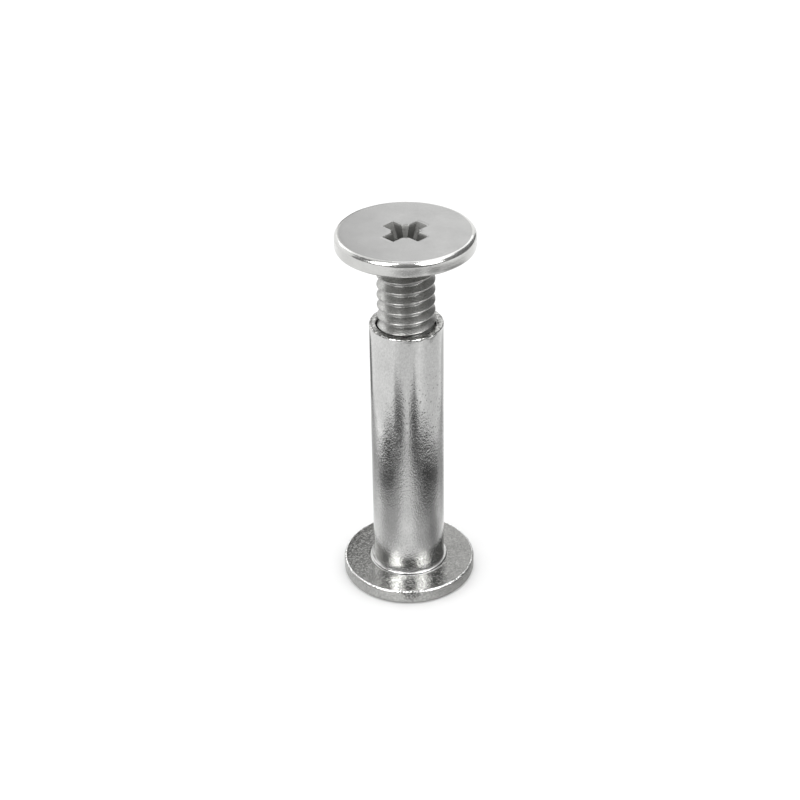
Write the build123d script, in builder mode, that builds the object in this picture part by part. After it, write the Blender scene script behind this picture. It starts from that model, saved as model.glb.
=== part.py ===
from build123d import *
import math
import os

os.makedirs("parts", exist_ok=True)

# Binding barrel and screw (a screw post) in nickel-plated steel, shown partly unscrewed.
# The barrel stands on its flange. The axis is Z and the origin is the centre of the
# flange's bottom face. Lengths are in millimetres and angles in degrees.

# Thread, 8-32 UNC, right hand
thread_pitch = 25.4 / 32
thread_major_diameter = 4.07
thread_half_angle = 30.0
thread_crest_flat = 0.10
thread_root_flat = 0.20

# Barrel
barrel_diameter = 5.25
barrel_height = 21.05
barrel_root_chamfer = 0.22
barrel_rim_chamfer = 0.16
flange_diameter = 9.75
flange_thickness = 1.1
flange_rim_bulge = 0.38

# Bore: tapped from the mouth, over a blind drilled hole
thread_clearance = 0.05
mouth_chamfer = 0.12
tapped_depth = 12.0
drill_diameter = 3.45
drill_depth = 14.5
drill_point_angle = 118.0

# Screw
turns_unscrewed = 7.5
head_diameter = 9.7
head_thickness = 1.06
head_rim_bulge = 0.35
shank_length = 12.7 * thread_pitch
neck_diameter = 3.92
neck_length = 1.0
neck_chamfer = 0.14
runout_length = 0.45
runout_embed = 0.06
tip_chamfer = 0.45

# Cross recess
recess_span = 3.24
recess_arm_width = 0.90
recess_depth = 1.55
recess_end_angle = 26.5
recess_side_angle = 4.0
recess_core_diameter = 1.86
recess_core_bottom_diameter = 1.0
recess_point_angle = 140.0
recess_turn = 45.0

# Worked out from the sizes above
thread_radius = thread_major_diameter / 2
thread_flank_rise = (thread_pitch - thread_crest_flat - thread_root_flat) / 2
thread_depth = thread_flank_rise / math.tan(math.radians(thread_half_angle))
core_radius = thread_radius - thread_depth
bore_radius = thread_radius + thread_clearance
gap = turns_unscrewed * thread_pitch
head_bottom = barrel_height + gap
head_top = head_bottom + head_thickness
tip_bottom = head_bottom - shank_length


def cone_height(diameter, point_angle):
    """Height of a drill's point of this diameter and included angle."""
    return diameter / 2 / math.tan(math.radians(point_angle / 2))


# Barrel: one turned piece, a flange and a tube with a blind bore
with BuildPart() as barrel:
    with BuildSketch(Plane.XZ):
        flange_radius = flange_diameter / 2
        tube_radius = barrel_diameter / 2
        with BuildLine():
            Polyline(
                (flange_radius - flange_rim_bulge, flange_thickness),
                (tube_radius + barrel_root_chamfer, flange_thickness),
                (tube_radius, flange_thickness + barrel_root_chamfer),
                (tube_radius, barrel_height - barrel_rim_chamfer),
                (tube_radius - barrel_rim_chamfer, barrel_height),
                (0, barrel_height),
                (0, 0),
                (flange_radius - flange_rim_bulge, 0),
            )
            ThreePointArc(
                (flange_radius - flange_rim_bulge, 0),
                (flange_radius, flange_thickness / 2),
                (flange_radius - flange_rim_bulge, flange_thickness),
            )
        make_face()
    revolve(axis=Axis.Z)

    with BuildSketch(Plane.XZ):
        with BuildLine():
            tapped_bottom = barrel_height - tapped_depth
            drill_bottom = barrel_height - drill_depth
            Polyline(
                (0, barrel_height),
                (bore_radius + mouth_chamfer, barrel_height),
                (bore_radius, barrel_height - mouth_chamfer),
                (bore_radius, tapped_bottom),
                (drill_diameter / 2, tapped_bottom),
                (drill_diameter / 2, drill_bottom),
                (0, drill_bottom - cone_height(drill_diameter, drill_point_angle)),
                close=True,
            )
        make_face()
    revolve(axis=Axis.Z, mode=Mode.SUBTRACT)

barrel.part.label = "barrel"
export_step(barrel.part, "parts/barrel.step")

# Screw: one headed and threaded piece
with BuildPart() as screw:
    # Blank: head, neck and shank
    with BuildSketch(Plane.XZ):
        head_radius = head_diameter / 2
        neck_radius = neck_diameter / 2
        neck_bottom = head_bottom - neck_length
        with BuildLine():
            Polyline(
                (head_radius - head_rim_bulge, head_top),
                (0, head_top),
                (0, tip_bottom),
                (thread_radius - tip_chamfer, tip_bottom),
                (thread_radius, tip_bottom + tip_chamfer),
                (thread_radius, neck_bottom),
                (neck_radius, neck_bottom),
                (neck_radius, head_bottom - neck_chamfer),
                (neck_radius + neck_chamfer, head_bottom),
                (head_radius - head_rim_bulge, head_bottom),
            )
            ThreePointArc(
                (head_radius - head_rim_bulge, head_bottom),
                (head_radius, head_bottom + head_thickness / 2),
                (head_radius - head_rim_bulge, head_top),
            )
        make_face()
    revolve(axis=Axis.Z)

    # Thread groove, cut one turn at a time: its middle crosses +X at whole pitches above the tip
    groove_start = tip_bottom - thread_pitch
    groove_turns = math.ceil((neck_bottom - groove_start) / thread_pitch)
    cut_radius = thread_radius + thread_crest_flat / 2
    half_root = thread_root_flat / 2
    half_cut = half_root + (cut_radius - core_radius) * math.tan(math.radians(thread_half_angle))
    for turn in range(groove_turns):
        turn_start = groove_start + turn * thread_pitch
        with BuildLine():
            Helix(thread_pitch, thread_pitch, core_radius, center=(0, 0, turn_start))
        with BuildSketch(Plane.XZ):
            with BuildLine():
                Polyline(
                    (core_radius, turn_start - half_root),
                    (cut_radius, turn_start - half_cut),
                    (cut_radius, turn_start + half_cut),
                    (core_radius, turn_start + half_root),
                    close=True,
                )
            make_face()
        sweep(is_frenet=True, mode=Mode.SUBTRACT)

    # Neck with a cone below it, where the groove runs out
    with BuildSketch(Plane.XZ):
        with BuildLine():
            Polyline(
                (0, neck_bottom - runout_length),
                (core_radius - runout_embed, neck_bottom - runout_length),
                (neck_radius, neck_bottom),
                (neck_radius, head_bottom),
                (0, head_bottom),
                close=True,
            )
        make_face()
    revolve(axis=Axis.Z)

    # Cross recess: two tapered slots and a tapered middle with a drill-like point
    recess_bottom = head_top - recess_depth
    end_run = recess_depth * math.tan(math.radians(recess_end_angle))
    side_run = recess_depth * math.tan(math.radians(recess_side_angle))
    for turn in (recess_turn, recess_turn + 90):
        with BuildSketch(Plane.XY.offset(head_top).rotated((0, 0, turn))):
            Rectangle(recess_span, recess_arm_width)
        with BuildSketch(Plane.XY.offset(recess_bottom).rotated((0, 0, turn))):
            Rectangle(recess_span - 2 * end_run, recess_arm_width - 2 * side_run)
        loft(mode=Mode.SUBTRACT)
    with BuildSketch(Plane.XZ):
        with BuildLine():
            core_bottom_radius = recess_core_bottom_diameter / 2
            point_height = cone_height(recess_core_bottom_diameter, recess_point_angle)
            Polyline(
                (0, head_top),
                (recess_core_diameter / 2, head_top),
                (core_bottom_radius, recess_bottom),
                (0, recess_bottom - point_height),
                close=True,
            )
        make_face()
    revolve(axis=Axis.Z, mode=Mode.SUBTRACT)

screw.part.label = "screw"
export_step(screw.part, "parts/screw.step")
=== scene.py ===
"""Dresses the binding barrel screw: a barrel and its screw in nickel-plated steel, in a white studio."""

import math

import bmesh
import bpy
from bpy.props import FloatProperty, FloatVectorProperty, PointerProperty
from mathutils import Euler, Matrix, Vector, noise


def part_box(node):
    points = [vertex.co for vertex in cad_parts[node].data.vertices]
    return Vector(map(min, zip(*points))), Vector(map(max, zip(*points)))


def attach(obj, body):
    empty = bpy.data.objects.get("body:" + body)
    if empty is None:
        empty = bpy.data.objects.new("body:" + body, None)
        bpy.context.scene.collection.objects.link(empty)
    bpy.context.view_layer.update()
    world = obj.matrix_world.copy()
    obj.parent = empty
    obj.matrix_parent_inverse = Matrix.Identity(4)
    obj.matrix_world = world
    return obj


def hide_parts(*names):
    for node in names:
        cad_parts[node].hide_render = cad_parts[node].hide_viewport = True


bl_info = {
    "name": "Binding Barrel Screw",
    "version": (1, 0, 0),
    "blender": (4, 5, 0),
    "location": "3D View > Sidebar > Barrel Screw",
    "description": "Makes a binding barrel and its screw, and a small studio to show them in",
    "category": "Add Mesh",
}

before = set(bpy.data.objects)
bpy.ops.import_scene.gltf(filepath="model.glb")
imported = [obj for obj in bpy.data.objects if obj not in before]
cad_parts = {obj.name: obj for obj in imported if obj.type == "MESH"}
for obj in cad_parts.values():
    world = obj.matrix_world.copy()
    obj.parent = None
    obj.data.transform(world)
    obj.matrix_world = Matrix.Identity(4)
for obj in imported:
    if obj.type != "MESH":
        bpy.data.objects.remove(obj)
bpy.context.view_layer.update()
BARREL_LOW, BARREL_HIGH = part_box("barrel")
SCREW_LOW, SCREW_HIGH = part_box("screw")

MM = 0.001
HAIR = 0.01 * MM  # slack where two heights or radii lie close together
SEGMENTS = 192  # points round the axis
WELD = 2e-7  # points nearer than this become one
SHARP = math.radians(38)  # an edge that turns more than this stays sharp

RECESS_TURN = math.radians(45)  # angle of the recess's first arm from +X
END_SLOPE, SIDE_SLOPE = math.tan(math.radians(26.5)), math.tan(math.radians(4))  # taper of an arm's walls
RECESS_POINT = math.radians(140)  # included angle of the recess's bottom
ARM_POINTS = (6, 8, 10)  # steps along an arm's end, its side and the middle's arc, in an eighth of the recess
RECESS_LEVELS = 8  # steps down the recess's wall
LIP_TURNS = (20, 40, 60, 90)  # degrees round the lip, from the recess's wall to the flat of the head
HEAD_STEPS = 12  # steps across the flat of the head

THREAD_SOFT = 0.06  # reach of a thread's rounded corners, as a share of its flank
# Where a flank gets its rows, from root to crest
THREAD_ROWS = (-THREAD_SOFT, 0.0, THREAD_SOFT, 0.5, 1 - THREAD_SOFT, 1.0, 1 + THREAD_SOFT)
RIDGE_CREST, RIDGE_BASE = 0.03 * MM, 0.15 * MM  # half widths of the barrel's thread at its top and its foot

WEAR_COVER = 0.35  # added to noise between -1 and 1, so that nicks cover more than half of an edge
WEAR_INSET = 0.3  # how far a rounded edge's wear lies in from its faces, as a share of its radius
FLANGE_HIGHLIGHT_SHARE, HEAD_HIGHLIGHT_SHARE = 0.35, 0.3  # share of a rim's upper radius that gets the bright colour of the painted highlight
HIGHLIGHT_MIDDLE, HIGHLIGHT_REACH = 0.6, 0.8  # where the head's edge gets the painted highlight colour, in radians from the front

# Material numbers on the barrel and on the screw
TUBE, FLANGE, MOUTH, BORE, FLANGE_RIM, FLANGE_HIGHLIGHT = range(6)
HEAD, HEAD_RIM, RECESS, THREAD, UNDERSIDE, HEAD_HIGHLIGHT = range(6)
COLOUR_A, COLOUR_B, MIXED = 6, 7, 2  # a mix node's sockets for two colours and for their mixture

SCREEN_RADIUS, BOX_RADIUS = 0.8, 0.5  # of the studio's screens and of the soft boxes before them
SHEET_HALF = 80 * MM  # half the width of a clear sheet with patches
PATCH_EVEN = 0.4  # share of a patch's size up to which it is even
CAMERA_AIM = (-0.52 * MM, 0.0, 14.65 * MM)  # the point that the camera looks at
CAMERA_TURN, CAMERA_ROLL = math.radians(0.238), math.radians(-0.83)  # about the upright and the line of sight
CLIP_START = 0.01  # the camera shows nothing nearer than this

# Painted shade: grey patches on a clear sheet over the studio floor, seen only in the metal, in millimetres: x,
# y, half width, half depth, turn in degrees, strength
FLOOR_SHADE_PATCHES = (
    (-10.0, -22.0, 10.0, 9.5, 0, 0.9),
    (-16.0, -10.5, 7.0, 11.0, 25, 1.0),
    (-16.5, -2.0, 5.5, 9.0, 0, 0.85),
    (-16.0, 12.0, 7.0, 12.0, 0, 0.6),
    (-18.0, 26.0, 9.0, 12.0, 0, 0.85),
    (8.0, -22.0, 9.0, 9.5, 0, 0.95),
    (14.0, -11.0, 7.5, 11.0, -25, 1.0),
    (16.0, -2.0, 6.5, 9.0, 0, 0.9),
    (15.5, 11.0, 8.5, 12.0, 0, 0.6),
    (20.0, 24.0, 10.0, 12.0, 0, 0.4),
    (-9.5, -9.0, 7.5, 12.0, 0, 0.55),
    (7.5, -8.0, 7.0, 13.0, 0, 0.5),
    (8.5, -2.0, 4.0, 5.0, 0, 0.5),
    (9.0, 8.0, 5.0, 8.0, 0, 0.45),
    (-9.0, 12.0, 6.0, 12.0, 0, 0.35),
    (0.0, -17.0, 5.0, 9.0, 0, 0.2),
    (-16.0, -23.5, 3.5, 8.5, -35, 0.35),
    (10.5, -27.0, 3.0, 7.5, 22, 0.4),
    (0.0, -40.0, 30.0, 18.0, 0, 0.2),
    (38.0, -4.0, 26.0, 34.0, 0, 0.25),
    (8.0, -56.0, 38.0, 13.0, 0, 0.75),
    (40.0, -40.0, 18.0, 13.0, 42, 0.85),
    (49.0, -10.0, 12.0, 34.0, 0, 0.7),
)
# The same on sheets that stand behind the object and in front of it, with the height in place of y
BACK_PATCHES = ((-11.0, 32.0, 13.0, 16.0, 0, 0.95), (-14.0, 59.0, 16.0, 14.0, 0, 0.4))
FRONT_PATCHES = (
    (-38.0, 20.0, 34.0, 27.0, 0, 0.7),
    (0.0, 20.0, 40.0, 27.0, 0, 0.75),
    (40.0, 20.0, 36.0, 27.0, 0, 0.75),
)


def length(name, description, default):
    """A size in metres, shown in the sidebar in the scene's units."""
    return FloatProperty(
        name=name,
        description=description,
        default=default,
        min=0.0,
        precision=5,
        subtype="DISTANCE",
        unit="LENGTH",
    )


def angle(name, description, degrees):
    """An angle, shown in the sidebar in degrees."""
    return FloatProperty(name=name, description=description, default=math.radians(degrees), subtype="ANGLE")


def amount(name, description, default):
    """A plain number that can't be negative."""
    return FloatProperty(name=name, description=description, default=default, min=0.0)


def hex_colour(code):
    """Turn an sRGB hex value into linear red, green and blue."""
    channels = (int(code[i : i + 2], 16) / 255 for i in (0, 2, 4))
    return tuple(c / 12.92 if c <= 0.04045 else ((c + 0.055) / 1.055) ** 2.4 for c in channels)


def colour(name, description, code):
    """A colour picked in the sidebar."""
    return FloatVectorProperty(
        name=name,
        description=description,
        default=hex_colour(code),
        min=0.0,
        max=1.0,
        size=3,
        subtype="COLOR",
    )


class ThreadSettings(bpy.types.PropertyGroup):
    """The thread that the barrel and the screw share."""

    pitch: length("Pitch", "Distance from crest to crest", 25.4 / 32 * MM)
    major_diameter: length("Major Diameter", "Width of the screw's thread over its crests", 4.07 * MM)
    crest_flat: length("Crest Flat", "Width of the flat on top of a crest", 0.08 * MM)
    root_flat: length("Root Flat", "Width of the flat at the bottom of the groove", 0.08 * MM)
    half_angle: angle("Half Angle", "Angle of a flank from square to the axis", 33)
    clearance: length("Clearance", "Gap between the barrel's thread and the screw's", 0.05 * MM)
    ridge: length("Ridge", "Height of the barrel's thread above the bore's wall", 0.1 * MM)


class BarrelSettings(bpy.types.PropertyGroup):
    """Sizes of the barrel."""

    diameter: length("Diameter", "Width of the tube", 5.25 * MM)
    flange_thickness: length("Flange Thickness", "Height of the flange", 1.1 * MM)
    rim_top: length("Rim Top Radius", "Radius of the flange rim's upper edge", 0.15 * MM)
    rim_bottom: length("Rim Bottom Radius", "Radius of the flange rim's lower edge", 0.28 * MM)
    collar_width: length("Collar Width", "How far the low collar round the tube's foot stands out", 0.21 * MM)
    collar_height: length("Collar Height", "Height of that collar above the flange", 0.16 * MM)
    rim_radius: length("Mouth Edge", "Radius of the mouth's outer edge", 0.09 * MM)
    countersink: length("Countersink", "Width of the bevel inside the mouth", 0.12 * MM)
    tapped_depth: length("Tapped Depth", "Depth of the thread from the mouth", 12.0 * MM)
    drill_diameter: length("Drill Diameter", "Width of the drilled hole", 3.45 * MM)
    drill_depth: length("Drill Depth", "Depth of the drilled hole from the mouth", 14.5 * MM)
    drill_point: angle("Drill Point", "Included angle of the hole's bottom", 118)


class ScrewSettings(bpy.types.PropertyGroup):
    """Sizes of the screw."""

    head_thickness: length("Head Thickness", "Height of the head", 1.06 * MM)
    rim_top: length("Rim Top Radius", "Radius of the head rim's upper edge", 0.33 * MM)
    rim_bottom: length("Rim Bottom Radius", "Radius of the head rim's lower edge", 0.12 * MM)
    neck_diameter: length("Neck Diameter", "Width of the plain neck under the head", 3.92 * MM)
    neck_length: length("Neck Length", "Length of the plain neck", 1.0 * MM)
    neck_chamfer: length("Neck Chamfer", "Bevel where the neck meets the head", 0.14 * MM)
    runout: length("Run-out", "Length over which the groove fades out", 0.45 * MM)
    tip_chamfer: length("Tip Chamfer", "Bevel at the end of the thread", 0.45 * MM)
    recess_span: length("Recess Span", "Width of the cross from arm end to arm end", 3.24 * MM)
    recess_arm: length("Arm Width", "Width of one arm of the cross", 0.90 * MM)
    recess_depth: length("Recess Depth", "Depth of the cross", 1.55 * MM)
    recess_core: length("Core Diameter", "Width of the rounded middle of the cross", 1.86 * MM)
    recess_floor: length("Core Floor", "Width of the middle at its bottom", 1.0 * MM)
    recess_lip: length("Recess Lip", "Radius of the worn edge round the cross", 0.11 * MM)


class FinishSettings(bpy.types.PropertyGroup):
    """Colours and sizes of the nickel finish."""

    head: colour("Head Plate", "Colour of the satin plate on the head", "B0B0AF")
    rim: colour("Rim Plate", "Colour of the plate on the head's rim", "C8C8C6")
    knocked: colour("Knocked Rim", "Colour of the plate on the flange's rim", "B2B2B0")
    mouth: colour("Mouth", "Colour of the plate on the cut mouth", "A8A8A6")
    tube: colour("Tube Plate", "Colour of the plate on the tube", "C4C4C3")
    flange: colour("Flange Plate", "Colour of the duller plate on the flange", "949492")
    dull: colour("Thread Plate", "Colour of the thin plate in the thread", "A2A2A0")
    # Darker than the head: thin plate, and painted shade in the hollow of the cross
    recess: colour("Recess", "Colour of the thinly plated recess, with painted shade", "7C7C7A")
    # Painted highlight: a brighter plate colour that draws a bright line on the flange's top edge and the head's
    # front edge
    painted_highlight: colour("Painted Edge Highlight", "Colour that paints a highlight on edges", "E6E6E5")
    pit: colour("Pits", "Colour of the pits in the plate", "4A4A48")
    grain: length("Grain", "Width of the fine grain in the plate", 0.1 * MM)
    flange_grain: length("Flange Grain", "Width of the pressed grain on the flange", 0.13 * MM)
    cut_grain: length("Cut Grain", "Width of the tears on the mouth's cut rim", 0.26 * MM)
    blotch: length("Blotches", "Width of the patches where the plate is rougher", 2.0 * MM)


class StageSettings(bpy.types.PropertyGroup):
    """Floor, light and camera of the studio."""

    floor: colour("Floor", "Colour of the floor", "F4F4F4")
    surround: amount("Surround", "Brightness of the white surround", 1.25)
    screen: colour("Screens", "Colour of the grey screens in front and at the sides", "7A7A7A")
    roof: colour("Roof", "Colour of the cloth overhead", "BABABA")
    # Colour of the painted shade and dark reflections on the clear sheets
    card: colour("Patches", "Colour of the soft patches on the clear sheets", "3C3C3C")
    soft_box: amount("Soft Boxes", "Brightness of the soft boxes", 10.0)
    lens: amount("Lens", "Focal length in millimetres", 79.35)
    distance: length("Camera Distance", "From the camera to the middle of the object", 126.04 * MM)
    elevation: angle("Elevation", "Angle at which the camera looks down", 31.79)


def make_piece(name, rows, material_of):
    """Skin rows of points into one closed mesh, and weld the points that touch. material_of gives each face
    its material number."""
    mesh = bpy.data.meshes.new(name)
    bm = bmesh.new()
    grid = [[bm.verts.new(point) for point in row] for row in rows]
    for lower, upper in zip(grid, grid[1:]):
        for i in range(SEGMENTS):
            bm.faces.new((lower[i], lower[i + 1], upper[i + 1], upper[i]))
    bmesh.ops.remove_doubles(bm, verts=bm.verts, dist=WELD)
    bmesh.ops.recalc_face_normals(bm, faces=bm.faces)
    for face in bm.faces:
        face.smooth = True
        face.material_index = material_of(face)
    bm.to_mesh(mesh)
    bm.free()
    mesh.set_sharp_from_angle(angle=SHARP)
    piece = bpy.data.objects.new(name, mesh)
    bpy.context.scene.collection.objects.link(piece)
    return piece


def ring(radius, height, turn=0.0):
    """A closed circle of points round the axis."""
    angles = (turn + math.tau * i / SEGMENTS for i in range(SEGMENTS + 1))
    return [Vector((radius * math.cos(a), radius * math.sin(a), height)) for a in angles]


def fillet(centre_radius, centre_height, size, start, end, steps=5):
    """Radius and height of points on a small arc, from start to end degrees."""
    angles = (math.radians(start + (end - start) * i / steps) for i in range(steps + 1))
    return [(centre_radius + size * math.cos(a), centre_height + size * math.sin(a)) for a in angles]


def rim_profile(radius, low, high, bottom_size, top_size):
    """Radius and height of points up a rim with two rounded edges."""
    lower = fillet(radius - bottom_size, low + bottom_size, bottom_size, -90, 0, 7)
    upper = fillet(radius - top_size, high - top_size, top_size, 0, 90, 11)
    return lower + spread(lower[-1], upper[0], 3) + upper


def spread(start, end, steps):
    """Radius and height of points between two points, both left out."""
    return [tuple(s + (e - s) * i / steps for s, e in zip(start, end)) for i in range(1, steps)]


def softened(x):
    """A straight ramp from 0 to 1 with its two corners rounded."""
    soft = THREAD_SOFT
    if x <= -soft or x >= 1 + soft:
        return 0.0 if x < 0.5 else 1.0
    if x < soft:
        return (x + soft) ** 2 / (4 * soft)
    if x > 1 - soft:
        return 1 - (1 + soft - x) ** 2 / (4 * soft)
    return x


def thread_rows(pitch, middle, half, low, high, radius_at):
    """Rows of a right-hand thread between two heights. middle is the height where the middle of a groove or
    ridge crosses +X, and half lists how far from it the rows lie. radius_at gives the radius from the height
    and that distance."""
    offsets = [0.0, *half, pitch / 2, *(pitch - x for x in reversed(half))]
    first = math.floor((low - middle) / pitch) - 1
    last = math.ceil((high - middle) / pitch)
    rows = []
    for turn in range(first, last + 1):
        for offset in offsets:
            row = []
            for i in range(SEGMENTS + 1):
                climb = pitch * i / SEGMENTS
                height = min(max(middle + turn * pitch + offset + climb, low), high)
                along = (height - climb - middle) % pitch
                radius = radius_at(height, min(along, pitch - along))
                around = math.tau * i / SEGMENTS
                row.append(Vector((radius * math.cos(around), radius * math.sin(around), height)))
            rows.append(row)
    return rows


def flank_width(thread):
    """Width of one flank along the axis."""
    return (thread.pitch - thread.crest_flat - thread.root_flat) / 2


def wear_edge(rows, radius, height, reach, depth, size):
    """Knock shallow nicks of this size and depth into a round edge, and move nothing beyond their reach."""
    for row in rows:
        for point in row:
            here = math.hypot(point.x, point.y)
            off = math.hypot(here - radius, point.z - height)
            if off < reach:
                push = depth * (1 - off / reach) * max(0.0, WEAR_COVER + noise.noise(point / size))
                point.x, point.y = (c * (here - push) / here for c in (point.x, point.y))
                point.z -= push


def barrel_rows(barrel, thread):
    """Every row of the barrel, from the middle of its foot, up the outside and down the bore."""
    top = BARREL_HIGH.z
    flange, tube, thick = BARREL_HIGH.x, barrel.diameter / 2, barrel.flange_thickness
    edge = barrel.rim_radius
    flange_top = BARREL_LOW.z + thick
    rim = rim_profile(flange, BARREL_LOW.z, flange_top, barrel.rim_bottom, barrel.rim_top)
    outside = [(0.0, BARREL_LOW.z), (flange * 0.5, BARREL_LOW.z)] + rim
    collar, collar_top = tube + barrel.collar_width, flange_top + barrel.collar_height
    bead = barrel.collar_height / 2
    collar_foot = (collar + 4 * HAIR, flange_top)
    outside += spread(rim[-1], collar_foot, 10) + [collar_foot, (collar + HAIR, flange_top + 2 * HAIR)]
    outside += fillet(collar - bead, collar_top - bead, bead, 0, 80, 6)
    tube_foot = (tube, collar_top + 2 * HAIR)
    outside += [(tube + 2 * HAIR, collar_top - HAIR), tube_foot]
    # The last step below the mouth is short, so that the nicks in its edge don't reach down the tube
    worn = (tube, top - edge - 15 * HAIR)
    outside += spread(tube_foot, worn, 32) + [worn]
    outside += fillet(tube - edge, top - edge, edge, 0, 90)

    bore = thread.major_diameter / 2 + thread.clearance
    mouth = bore + barrel.countersink
    drill = barrel.drill_diameter / 2
    tapped = top - barrel.tapped_depth
    outside += spread((tube - edge, top), (mouth, top), 4) + [(mouth, top)]
    rows = [ring(r, z) for r, z in outside]

    # The ridges are low and lie a quarter pitch above the screw's grooves, so that they clear the screw at
    # both ends of its straight travel, which are 7.5 and 5 pitches away
    ridge_width = RIDGE_BASE - RIDGE_CREST

    def radius_at(height, distance):
        if height <= tapped:
            return drill
        ridge = bore - thread.ridge * (1 - softened((distance - RIDGE_CREST) / ridge_width))
        return max(ridge, mouth - (top - height))

    half = [RIDGE_CREST + ridge_width * x for x in THREAD_ROWS]
    rows += reversed(thread_rows(thread.pitch, SCREW_LOW.z + thread.pitch / 4, half, tapped, top, radius_at))
    bottom = top - barrel.drill_depth
    point = drill / math.tan(barrel.drill_point / 2)
    inside = [(drill, tapped), (drill, bottom), (0.0, bottom - point)]
    rows += [ring(r, z) for r, z in inside]
    # Nicks in the flange's rim and in the mouth's outer and inner edges: their reach, depth and size
    rim_in, edge_in = barrel.rim_top * WEAR_INSET, edge * WEAR_INSET
    wear_edge(rows, flange - rim_in, flange_top - rim_in, 0.3 * MM, 0.035 * MM, 0.5 * MM)
    wear_edge(rows, tube - edge_in, top - edge_in, 0.13 * MM, 0.035 * MM, 0.45 * MM)
    wear_edge(rows, mouth, top, 0.16 * MM, 0.035 * MM, 0.3 * MM)
    return rows


def cross_ring(screw, depth, grow=0.0):
    """The recess's outline at a depth, opened out by grow."""
    share = depth / screw.recess_depth
    half_span = screw.recess_span / 2 - depth * END_SLOPE + grow
    half_arm = screw.recess_arm / 2 - depth * SIDE_SLOPE + grow
    core = (screw.recess_core + (screw.recess_floor - screw.recess_core) * share) / 2 + grow
    corner, meet = math.atan2(half_arm, half_span), math.asin(half_arm / core)
    end_steps, side_steps, arc_steps = ARM_POINTS
    eighth = [(a, half_span / math.cos(a)) for a in (corner * i / end_steps for i in range(end_steps))]
    for i in range(side_steps):
        x = math.sqrt(core**2 - half_arm**2) * i / side_steps + half_span * (1 - i / side_steps)
        eighth.append((math.atan2(half_arm, x), math.hypot(half_arm, x)))
    eighth += [(meet + (math.pi / 4 - meet) * i / arc_steps, core) for i in range(arc_steps)]
    mirrored = [(math.pi / 4, core)] + [(math.pi / 2 - a, r) for a, r in reversed(eighth[1:])]
    points = []
    for arm in range(4):
        for a, r in eighth + mirrored:
            around = RECESS_TURN + arm * math.pi / 2 + a
            points.append(Vector((r * math.cos(around), r * math.sin(around), SCREW_HIGH.z - depth)))
    return points + [points[0].copy()]


def screw_rows(screw, thread):
    """Every row of the screw, from the bottom of its recess, over the head and down to the tip."""
    top = SCREW_HIGH.z
    head = SCREW_HIGH.x
    bottom = top - screw.head_thickness
    neck, neck_low = screw.neck_diameter / 2, bottom - screw.neck_length
    depth, lip = screw.recess_depth, screw.recess_lip

    floor_radius = screw.recess_floor / 2
    point = floor_radius / math.tan(RECESS_POINT / 2)
    rows = [ring(0.0, top - depth - point, RECESS_TURN), ring(floor_radius, top - depth, RECESS_TURN)]
    levels = range(RECESS_LEVELS + 1)
    rows += [cross_ring(screw, depth + (2 * lip - depth) * i / RECESS_LEVELS) for i in levels]
    # The lip rolls over from the recess's wall to the flat of the head
    for turn in LIP_TURNS:
        a = math.radians(turn)
        rows.append(cross_ring(screw, 2 * lip * (1 - math.sin(a)), lip * (1 - math.cos(a))))
    lip_ring = rows[-1]
    rim = rim_profile(head, bottom, top, screw.rim_bottom, screw.rim_top)[::-1]
    edge_ring = ring(rim[0][0], top, RECESS_TURN)
    for i in range(1, HEAD_STEPS):
        rows.append([a.lerp(b, i / HEAD_STEPS) for a, b in zip(lip_ring, edge_ring)])
    rows += [ring(r, z, RECESS_TURN) for r, z in rim]
    under = spread(rim[-1], (neck + screw.neck_chamfer, bottom), 5)
    under += fillet(neck + screw.neck_chamfer, bottom - screw.neck_chamfer, screw.neck_chamfer, 90, 180)
    under += spread((neck, bottom - screw.neck_chamfer), (neck, neck_low), 4) + [(neck, neck_low)]
    rows += [ring(r, z, RECESS_TURN) for r, z in under]
    # From here the rows start at +X, as the thread does
    rows[-1] = ring(neck, neck_low)
    quarter = round(RECESS_TURN / math.tau * SEGMENTS)
    rows[:-1] = [row[-1 - quarter : -1] + row[: SEGMENTS + 1 - quarter] for row in rows[:-1]]

    rise, crest = flank_width(thread), thread.major_diameter / 2
    core = crest - rise / math.tan(thread.half_angle)
    tip = SCREW_LOW.z

    def radius_at(height, distance):
        tooth = core + (crest - core) * softened((distance - thread.root_flat / 2) / rise)
        chamfer = crest - screw.tip_chamfer + (height - tip)
        fade = neck - (neck - core) * (neck_low - height) / screw.runout
        return max(min(tooth, chamfer), fade)

    half = [thread.root_flat / 2 + rise * x for x in THREAD_ROWS]
    rows += reversed(thread_rows(thread.pitch, tip, half, tip, neck_low, radius_at))
    end = crest - screw.tip_chamfer
    rows += [ring(r, tip) for r in (end, end * 0.5, 0.0)]
    # Faint dents in the head's rim
    rim_in = screw.rim_top * WEAR_INSET
    wear_edge(rows, head - rim_in, top - rim_in, 0.3 * MM, 0.013 * MM, 0.6 * MM)
    return rows


def add_node(tree, kind, inputs=None, **settings):
    """Add one node. inputs are values or other nodes' outputs, and settings are the node's own properties."""
    made = tree.nodes.new(kind)
    for name, value in settings.items():
        setattr(made, name, value)
    for name, value in (inputs or {}).items():
        if isinstance(value, bpy.types.NodeSocket):
            tree.links.new(value, made.inputs[name])
        else:
            made.inputs[name].default_value = value
    return made


def new_material(name):
    """An empty material with its surface output."""
    material = bpy.data.materials.new(name)
    material.use_nodes = True
    material.node_tree.nodes.clear()
    return material, add_node(material.node_tree, "ShaderNodeOutputMaterial")


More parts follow.
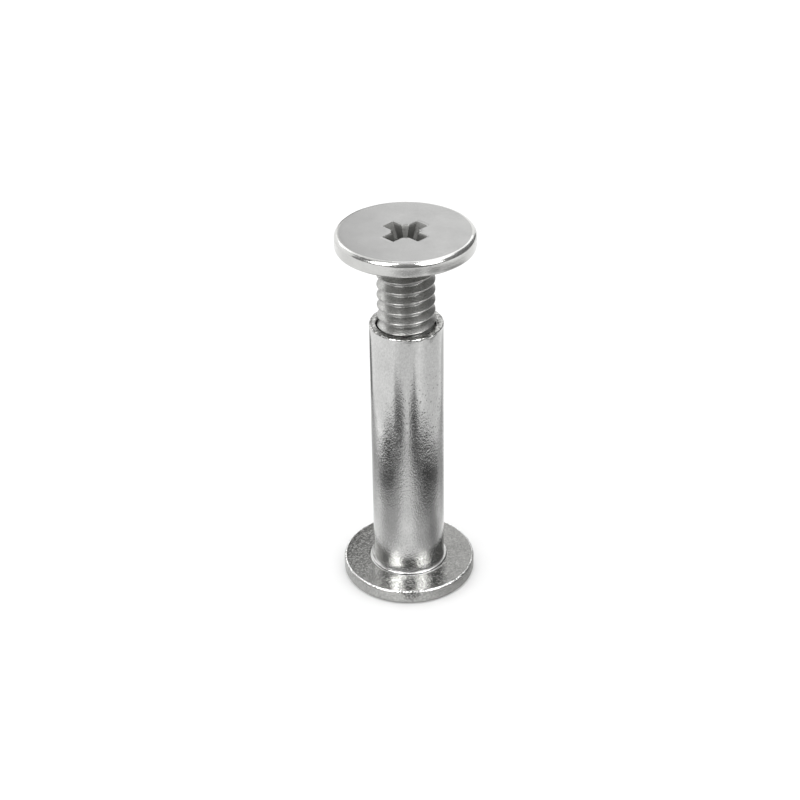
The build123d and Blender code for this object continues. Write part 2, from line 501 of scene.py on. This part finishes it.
def plated_metal(
    name, rgb, roughness, grain, depth, finish, mottle=0.06, drawn=1.0, specks=0.0, foot=0.0, pits=None
):
    """Nickel plate on steel. The grain's depth breaks the reflections up, mottle is how much it darkens them,
    and drawn is how much longer it is along the axis. Specks are sparse bumps, this many times as high as the
    grain. Below the height called foot the grain is coarser. Pits are small dark holes in one place, given by
    their strength, their middle, how far out they reach, and their spacing and width."""
    material, output = new_material(name)
    tree = material.node_tree

    def node(kind, inputs=None, **settings):
        return add_node(tree, kind, inputs, **settings)

    def maths(operation, *values):
        return node("ShaderNodeMath", dict(enumerate(values)), operation=operation).outputs[0]

    def ramp(value, low, high, start, end):
        inputs = {"Value": value, "From Min": low, "From Max": high, "To Min": start, "To Max": end}
        return node("ShaderNodeMapRange", inputs).outputs["Result"]

    def clouds(vector, scale, detail, roughness=0.5):
        inputs = {"Vector": vector, "Scale": scale, "Detail": detail, "Roughness": roughness}
        return node("ShaderNodeTexNoise", inputs).outputs["Fac"]

    place = node("ShaderNodeTexCoord").outputs["Object"]
    patch = clouds(place, 1 / finish.blotch, 3.0)
    along = node("ShaderNodeMapping", {"Vector": place, "Scale": (1.0, 1.0, 1 / drawn)}).outputs["Vector"]
    peel = clouds(along, 1 / grain, 2.0, 0.65)
    height = maths("MULTIPLY", peel, ramp(patch, 0.35, 0.65, 0.6, 1.25))
    if specks:
        # Only the top of the noise shows, so the bumps are sparse
        speck = ramp(clouds(place, 0.8 / grain, 1.0), 0.56, 0.68, 0.0, specks)
        height = maths("ADD", height, speck)
    if foot:
        # More than three times as high low down, and half as high from the foot's height up
        rise = node("ShaderNodeSeparateXYZ", {"Vector": place}).outputs["Z"]
        height = maths("MULTIPLY", height, ramp(rise, foot * 0.72, foot, 3.3, 0.5))
    shade = maths("MULTIPLY", ramp(patch, 0.3, 0.7, 1.04, 0.92), ramp(peel, 0.3, 0.7, 1 + mottle, 1 - mottle))
    tint = {"Factor": 1.0, COLOUR_A: (*rgb, 1.0), COLOUR_B: shade}
    base = node("ShaderNodeMix", tint, data_type="RGBA", blend_type="MULTIPLY").outputs[MIXED]
    if pits:
        strength, middle, reach, spacing, width = pits
        cells = node("ShaderNodeTexVoronoi", {"Vector": place, "Scale": 1 / spacing}).outputs["Distance"]
        hole = ramp(cells, 0.03, maths("MULTIPLY", ramp(peel, 0.35, 0.65, 0.5, 1.4), width), 1.0, 0.0)
        off = node("ShaderNodeVectorMath", {0: place, 1: middle}, operation="DISTANCE").outputs["Value"]
        # The patch of pits thins out at a ragged edge
        ragged = maths("MULTIPLY_ADD", patch, reach / 2, off)
        hole = maths("MULTIPLY", hole, ramp(ragged, reach, reach * 1.4, strength, 0.0))
        dark = {"Factor": hole, COLOUR_A: base, COLOUR_B: (*finish.pit, 1.0)}
        base = node("ShaderNodeMix", dark, data_type="RGBA").outputs[MIXED]
        height = maths("SUBTRACT", height, hole)
    bump = node("ShaderNodeBump", {"Height": height, "Distance": depth, "Strength": 1.0}).outputs["Normal"]
    inputs = {"Base Color": base, "Metallic": 1.0, "Roughness": roughness, "Normal": bump}
    tree.links.new(node("ShaderNodeBsdfPrincipled", inputs).outputs["BSDF"], output.inputs["Surface"])
    return material


def barrel_materials(finish):
    """The barrel's finishes, in the order of their numbers."""
    fine, coarse = finish.grain, finish.flange_grain
    # Strength, middle, reach, spacing and width of the pits
    tube_pits = (0.85, Vector((2.1, -1.7, 14.4)) * MM, 3.8 * MM, 0.3 * MM, 0.27)
    rim_pits = (1.0, Vector((0.15, -4.75, 1.1)) * MM, 0.75 * MM, 0.19 * MM, 1.1)
    return [
        # Barrel-plated over a drawn tube: bright, with a fine grain along its length and a patch of pits
        plated_metal(
            "Nickel Plate, Drawn Tube", finish.tube, 0.1, fine, 0.007 * MM, finish, 0.14, 1.8,
            foot=17.0 * MM, pits=tube_pits,
        ),
        # Cold-headed flange: a coarse pressed grain under thin plate, duller and speckled
        plated_metal(
            "Nickel Plate, Headed Flange", finish.flange, 0.15, coarse, 0.01 * MM, finish, 0.25, specks=1.6
        ),
        # Cut rim of the mouth: uneven tears, bright in places
        plated_metal("Nickel Plate, Cut Mouth", finish.mouth, 0.15, finish.cut_grain, 0.08 * MM, finish, 0.7),
        # Tapped bore: little plate reaches it, so it is dull
        plated_metal("Thin Nickel, Tapped Bore", finish.dull, 0.35, fine, 0.015 * MM, finish, 0.15),
        # Flange's rim: knocked in the plating barrel, so rougher, with a battered patch in front
        plated_metal(
            "Nickel Plate, Knocked Rim", finish.knocked, 0.2, coarse, 0.045 * MM, finish, 0.3, pits=rim_pits
        ),
        # Edge of that rim: a brighter colour paints a highlight line on it, broken up by the pits
        plated_metal(
            "Nickel Plate, Painted Edge Highlight", finish.painted_highlight, 0.18, coarse, 0.06 * MM, finish, 0.8, pits=rim_pits
        ),
    ]


def screw_materials(finish):
    """The screw's finishes, in the order of their numbers."""
    fine = finish.grain
    return [
        # Cold-headed and tumbled: an even satin
        plated_metal("Satin Nickel, Headed Top", finish.head, 0.27, fine, 0.004 * MM, finish, 0.03),
        # Rim rubbed smooth in the tumbler: sharper reflections
        plated_metal("Nickel Plate, Tumbled Rim", finish.rim, 0.18, fine, 0.006 * MM, finish, 0.05),
        # Punched cross: thin plate over torn metal, dull, and darkened with painted shade in the hollow
        plated_metal("Thin Nickel With Painted Shade, Punched Recess", finish.recess, 0.6, fine, 0.02 * MM, finish, 0.15),
        # Rolled thread: thin plate, dull with a slight sheen
        plated_metal("Thin Nickel, Rolled Thread", finish.dull, 0.3, fine, 0.02 * MM, finish, 0.3),
        # Underside of the head, off the die: matt
        plated_metal("Thin Nickel, Die Face", finish.dull, 0.5, fine, 0.02 * MM, finish, 0.1),
        # Top edge of the head, in front: a brighter colour paints a highlight there
        plated_metal("Nickel Plate, Painted Edge Highlight", finish.painted_highlight, 0.15, fine, 0.006 * MM, finish, 0.05),
    ]


def stage_material(name, kind, inputs):
    """A material for the studio, of one shader."""
    material, output = new_material(name)
    shader = add_node(material.node_tree, kind, inputs)
    material.node_tree.links.new(shader.outputs[0], output.inputs["Surface"])
    return material


def stage_cloth(name, rgb):
    """Matt cloth or paper with no gloss."""
    return stage_material(name, "ShaderNodeBsdfDiffuse", {"Color": (*rgb, 1.0)})


def glow(name, strength):
    """The lit front of a soft box."""
    return stage_material(name, "ShaderNodeEmission", {"Strength": strength})


def stage_mesh(name, points, faces, material):
    """A mesh for the studio, which isn't part of the object."""
    mesh = bpy.data.meshes.new(name)
    mesh.from_pydata(points, [], faces)
    mesh.materials.append(material)
    made = bpy.data.objects.new(name, mesh)
    bpy.context.scene.collection.objects.link(made)
    return made


def reflector_card(name, points, faces, material):
    """A card that shows only as a reflection in the metal, and that the camera doesn't see."""
    card = stage_mesh(name, points, faces, material)
    card.visible_camera = card.visible_diffuse = card.visible_shadow = card.visible_transmission = False
    return card


def patched_sheet(name, rgb, patches):
    """A clear sheet with soft grey ellipses on it, seen only in the metal, where they paint shade and dark
    reflections. Each is even up to a part of its size and gone at its edge.
    """
    material, output = new_material(name)
    tree = material.node_tree
    place = add_node(tree, "ShaderNodeTexCoord").outputs["Object"]
    clear = None
    for x, y, wide, deep, turn, strength in patches:
        inputs = {
            "Vector": place,
            "Location": (x * MM, y * MM, 0),
            "Rotation": (0, 0, math.radians(turn)),
            "Scale": (wide * MM, deep * MM, 1),
        }
        local = add_node(tree, "ShaderNodeMapping", inputs, vector_type="TEXTURE").outputs["Vector"]
        off = add_node(tree, "ShaderNodeVectorMath", {0: local}, operation="LENGTH").outputs["Value"]
        inputs = {"Value": off, "From Min": PATCH_EVEN, "From Max": 1.0, "To Min": 1 - strength, "To Max": 1.0}
        left = add_node(tree, "ShaderNodeMapRange", inputs, interpolation_type="SMOOTHSTEP").outputs["Result"]
        if clear:
            left = add_node(tree, "ShaderNodeMath", {0: clear, 1: left}, operation="MULTIPLY").outputs[0]
        clear = left
    cloth = add_node(tree, "ShaderNodeBsdfDiffuse", {"Color": (*rgb, 1.0)}).outputs[0]
    glass = add_node(tree, "ShaderNodeBsdfTransparent").outputs[0]
    mix = add_node(tree, "ShaderNodeMixShader", {0: clear, 1: cloth, 2: glass})
    tree.links.new(mix.outputs[0], output.inputs["Surface"])
    w = SHEET_HALF
    return reflector_card(name, [(-w, -w, 0), (w, -w, 0), (w, w, 0), (-w, w, 0)], [(0, 1, 2, 3)], material)


def curved_screen(name, radius, from_side, to_side, from_height, to_height, material, steps=24):
    """A curved screen round the object. Sides are degrees from the front to the right, and heights are
    degrees above the floor."""
    points = []
    for j in range(steps + 1):
        up = math.radians(from_height + (to_height - from_height) * j / steps)
        for i in range(steps + 1):
            side = math.radians(from_side + (to_side - from_side) * i / steps)
            out = math.cos(up)
            points.append(radius * Vector((math.sin(side) * out, -math.cos(side) * out, math.sin(up))))
    wide = steps + 1
    starts = [j * wide + i for j in range(steps) for i in range(steps)]
    faces = [(start, start + 1, start + wide + 1, start + wide) for start in starts]
    return reflector_card(name, points, faces, material)


class MESH_OT_binding_barrel(bpy.types.Operator):
    """Make the flanged barrel with its tapped bore"""

    bl_idname = "mesh.binding_barrel"
    bl_label = "Binding Barrel"

    def execute(self, context):
        scene = context.scene
        barrel, thread = scene.barrel_settings, scene.thread_settings
        flange_top = BARREL_LOW.z + barrel.flange_thickness
        foot = flange_top + barrel.collar_height
        bore = thread.major_diameter / 2 + thread.clearance + HAIR
        flange_highlight_low = flange_top - barrel.rim_top * FLANGE_HIGHLIGHT_SHARE

        def material_of(face):
            middle = face.calc_center_median()
            radius = math.hypot(middle.x, middle.y)
            if middle.z < foot:
                if radius > BARREL_HIGH.x - barrel.rim_top:
                    # The top of the flange's rim takes the painted highlight colour
                    return FLANGE_HIGHLIGHT if middle.z > flange_highlight_low else FLANGE_RIM
                return TUBE if middle.z > flange_top + HAIR / 10 else FLANGE
            if radius < bore and middle.z < BARREL_HIGH.z - HAIR:
                return BORE
            return MOUTH if middle.z > BARREL_HIGH.z - barrel.rim_radius else TUBE

        piece = make_piece("barrel_plated", barrel_rows(barrel, thread), material_of)
        for material in barrel_materials(scene.finish_settings):
            piece.data.materials.append(material)
        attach(piece, "barrel")
        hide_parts("barrel")
        return {"FINISHED"}


class MESH_OT_binding_screw(bpy.types.Operator):
    """Make the wide-headed screw with its cross recess and thread"""

    bl_idname = "mesh.binding_screw"
    bl_label = "Binding Screw"

    def execute(self, context):
        scene = context.scene
        screw, thread = scene.screw_settings, scene.thread_settings
        top = SCREW_HIGH.z
        head_low = top - screw.head_thickness
        flat_edge = SCREW_HIGH.x - screw.rim_top
        head_highlight_low = top - screw.rim_top * HEAD_HIGHLIGHT_SHARE
        recess_reach = screw.recess_span * 0.7

        def material_of(face):
            middle = face.calc_center_median()
            radius = math.hypot(middle.x, middle.y)
            if middle.z < head_low - HAIR / 2:
                in_recess = radius < screw.recess_floor / 2 and middle.z > top - 2 * screw.recess_depth
                return RECESS if in_recess else THREAD
            if radius < recess_reach and head_low + HAIR / 2 < middle.z < top - 2 * HAIR:
                return RECESS
            if middle.z < head_low + HAIR / 2:
                return UNDERSIDE
            if radius > flat_edge:
                # In front, the top of the head's edge takes the painted highlight colour
                off_middle = abs(math.atan2(middle.x, -middle.y) - HIGHLIGHT_MIDDLE)
                return HEAD_HIGHLIGHT if middle.z > head_highlight_low and off_middle < HIGHLIGHT_REACH else HEAD_RIM
            return HEAD

        piece = make_piece("screw_plated", screw_rows(screw, thread), material_of)
        for material in screw_materials(scene.finish_settings):
            piece.data.materials.append(material)
        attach(piece, "screw")
        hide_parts("screw")
        return {"FINISHED"}


class SCENE_OT_screw_studio(bpy.types.Operator):
    """Make the floor, the lights and the camera"""

    bl_idname = "scene.screw_studio"
    bl_label = "Studio"

    def execute(self, context):
        scene = context.scene
        stage = scene.stage_settings

        corners = [(-1, -1, 0), (1, -1, 0), (1, 1, 0), (-1, 1, 0)]
        stage_mesh("floor", corners, [(0, 1, 2, 3)], stage_cloth("White Paper Sweep", stage.floor))

        # Grey screens give the rims their dark lines, and soft boxes before them the lines' bright ends. The
        # numbers are sides from and to, and heights from and to
        grey = stage_cloth("Grey Screen Cloth", stage.screen)
        curved_screen("front_screen", SCREEN_RADIUS, -92, 62, 2, 66, grey)
        curved_screen("high_screen", SCREEN_RADIUS - 0.01, -24, 22, 60, 78, grey)
        curved_screen("right_screen", SCREEN_RADIUS, 62, 150, -4, 52, grey)
        lit, dim = glow("Soft Box Front", stage.soft_box), glow("Top Box Front", stage.soft_box / 3)
        curved_screen("soft_box_left", BOX_RADIUS, -59, -28, 24, 72, lit)
        curved_screen("soft_box_right", BOX_RADIUS, 31, 59, 24, 72, lit)
        curved_screen("left_screen", SCREEN_RADIUS, -120, -92, 44, 66, grey)
        curved_screen("side_box_left", BOX_RADIUS, -152, -131, 28, 46, dim)
        pale = stage_cloth("Pale Roof Cloth", stage.roof)
        curved_screen("roof_screen", SCREEN_RADIUS, -60, 50, 74, 122, pale)
        # A narrow lit strip low at the left gives the tube's side a thin bright line
        strip = ((-20.4, -4, 0.3), (-19.7, -4, 0.3), (-20.2, 7, 0.3), (-21.4, 8, 0.3))
        points = [Vector(point) * MM for point in strip]
        reflector_card("glint_card", points, [(0, 1, 2, 3)], glow("Glint Strip", stage.soft_box / 4))
        curved_screen("top_box_right", BOX_RADIUS, 61, 150, 60, 76, dim)

        # The patches on the floor paint shade and dark reflections into the tube: its dark sides and streaks.
        # Those behind paint shade on the flat tops, and those in front paint the dark line over the head's rim's
        # wall
        floor_shade_sheet = patched_sheet("floor_shade_sheet", stage.card, FLOOR_SHADE_PATCHES)
        floor_shade_sheet.location.z = 2 * HAIR
        back_sheet = patched_sheet("back_sheet", stage.card, BACK_PATCHES)
        back_sheet.location.y = 50 * MM
        back_sheet.rotation_euler.x = math.pi / 2
        # This one stands a little to the right and faces the object
        front_sheet = patched_sheet("front_sheet", stage.card, FRONT_PATCHES)
        front_sheet.location = Vector((17.7, -83.0, 0.0)) * MM
        front_sheet.rotation_euler = (math.pi / 2, 0.0, math.radians(12))

        world = bpy.data.worlds.new("White Surround")
        world.use_nodes = True
        background = world.node_tree.nodes["Background"]
        background.inputs["Color"].default_value = (1.0, 1.0, 1.0, 1.0)
        background.inputs["Strength"].default_value = stage.surround
        scene.world = world
        scene.view_settings.view_transform = "Standard"

        camera_data = bpy.data.cameras.new("camera")
        camera_data.lens = stage.lens
        camera_data.clip_start = CLIP_START
        camera = bpy.data.objects.new("camera", camera_data)
        turn = Euler((math.pi / 2 - stage.elevation, 0.0, CAMERA_TURN)).to_matrix()
        turn = turn @ Matrix.Rotation(CAMERA_ROLL, 3, "Z")
        place = Vector(CAMERA_AIM) + turn @ Vector((0, 0, stage.distance))
        camera.matrix_world = Matrix.Translation(place) @ turn.to_4x4()
        scene.collection.objects.link(camera)
        scene.camera = camera
        return {"FINISHED"}


class VIEW3D_PT_barrel_screw(bpy.types.Panel):
    """Lists the pieces and the studio, each with its settings"""

    bl_label = "Binding Barrel Screw"
    bl_space_type = "VIEW_3D"
    bl_region_type = "UI"
    bl_category = "Barrel Screw"

    def draw(self, context):
        for operator, groups in SECTIONS:
            box = self.layout.box()
            box.operator(operator)
            for group in groups:
                settings = getattr(context.scene, group)
                for name in settings.__annotations__:
                    box.prop(settings, name)


# The sidebar's sections: an operator, and the settings that it reads
SECTIONS = (
    ("mesh.binding_barrel", ("barrel_settings", "thread_settings")),
    ("mesh.binding_screw", ("screw_settings", "finish_settings")),
    ("scene.screw_studio", ("stage_settings",)),
)
GROUPS = {
    "thread_settings": ThreadSettings,
    "barrel_settings": BarrelSettings,
    "screw_settings": ScrewSettings,
    "finish_settings": FinishSettings,
    "stage_settings": StageSettings,
}
CLASSES = (
    *GROUPS.values(),
    MESH_OT_binding_barrel,
    MESH_OT_binding_screw,
    SCENE_OT_screw_studio,
    VIEW3D_PT_barrel_screw,
)


def register():
    """Register the classes and hang their settings on the scene."""
    for cls in CLASSES:
        bpy.utils.register_class(cls)
    for name, group in GROUPS.items():
        setattr(bpy.types.Scene, name, PointerProperty(type=group))


def unregister():
    """Undo register."""
    for name in GROUPS:
        delattr(bpy.types.Scene, name)
    for cls in reversed(CLASSES):
        bpy.utils.unregister_class(cls)


def main():
    """Make the pieces and the studio."""
    register()
    bpy.ops.scene.screw_studio()
    bpy.ops.mesh.binding_barrel()
    bpy.ops.mesh.binding_screw()


if __name__ == "__main__":
    main()
